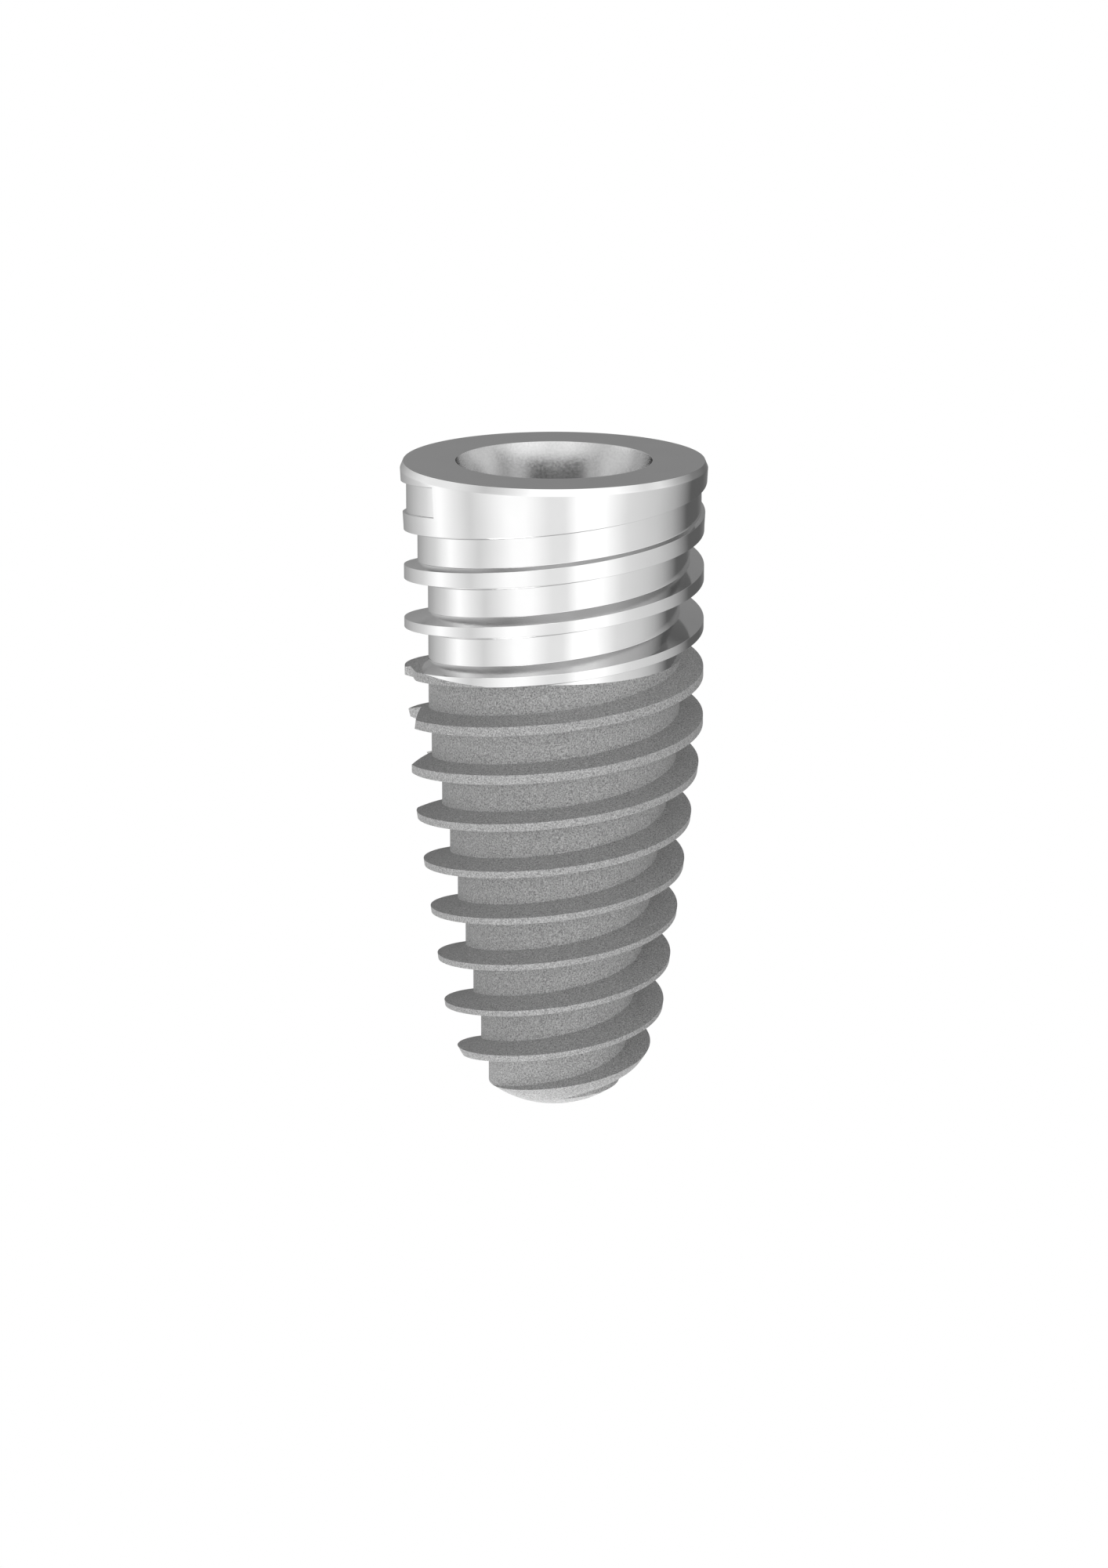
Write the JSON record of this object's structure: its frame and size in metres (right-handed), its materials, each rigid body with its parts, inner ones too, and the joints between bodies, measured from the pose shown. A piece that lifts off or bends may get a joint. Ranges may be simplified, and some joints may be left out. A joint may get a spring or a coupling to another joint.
{
  "type": "dental implant",
  "caption": "Tapered root-form dental implant with a helical thread, a spiral cutting flute, a rounded tip and a bore with a conical seat and a driver socket.",
  "frame": {"origin": "centre of the platform, the flat ring on which the abutment seats and on which the implant stands here", "axes": "+Z along the implant's axis from the platform to the rounded tip; +Y away from the side that the picture shows; +X completes the frame"},
  "size_m": [0.0046, 0.0046, 0.01],
  "materials": {
    "titanium": "machined collar, blasted and etched below it"
  },
  "bodies": {
    "root": {"implant_body": "titanium"}
  },
  "joints": []
}
